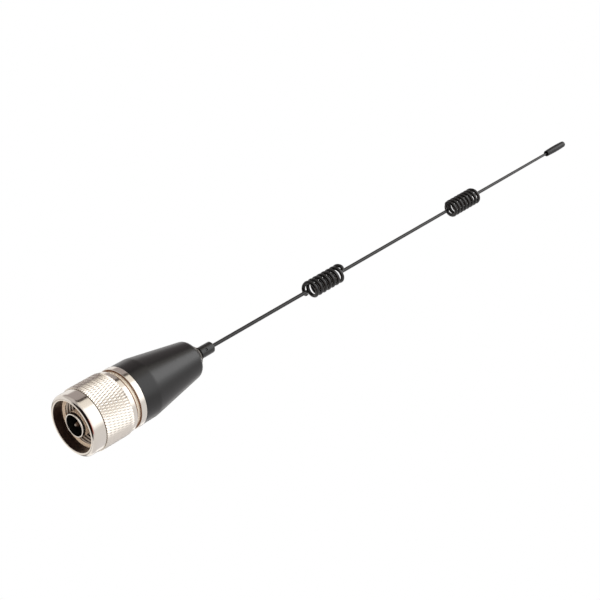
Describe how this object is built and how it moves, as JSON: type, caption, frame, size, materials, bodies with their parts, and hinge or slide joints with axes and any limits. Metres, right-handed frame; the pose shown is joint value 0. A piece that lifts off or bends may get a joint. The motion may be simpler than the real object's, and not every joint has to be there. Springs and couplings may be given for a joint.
{
  "type": "wifi antenna",
  "caption": "Coil-loaded whip antenna: knurled coaxial screw plug, tapered black boot and a thin black wire whip with wound phasing coils and a tip cap.",
  "frame": {"origin": "on the antenna's axis, in the mouth plane of the coupling nut", "axes": "+Z along the axis from the plug towards the tip of the whip; -Y is the side with the crimp mark"},
  "size_m": [0.021, 0.021, 0.2636],
  "materials": {
    "nickel_plate": "bright nickel plate on turned brass",
    "spring_bronze": "plain spring bronze",
    "gasket_rubber": "dull silicone",
    "white_insulator": "waxy fluoropolymer",
    "bare_brass": "turned brass",
    "contact_plate": "plated contact",
    "boot_plastic": "satin black moulding",
    "washer_rubber": "black rubber",
    "black_plate": "gloss black plating",
    "black_wire": "black coated spring steel",
    "cap_rubber": "satin black rubber"
  },
  "bodies": {
    "antenna": {"connector_body": "nickel_plate", "snap_ring": "spring_bronze", "face_gasket": "gasket_rubber", "insulator": "white_insulator", "insulator_bush": "bare_brass", "centre_pin": "contact_plate", "feed_rod": "bare_brass", "boot": "boot_plastic", "boot_insert": "bare_brass", "holder_washer": "washer_rubber", "whip_holder": "black_plate", "whip": "black_wire", "tip_cap": "cap_rubber"},
    "nut": {"coupling_nut": "nickel_plate"}
  },
  "joints": [
    {"name": "nut_spin", "type": "hinge", "parent": "antenna", "child": "nut", "pos_m": [0, 0, 0.0141], "axis": [0, 0, 1], "continuous": true}
  ]
}
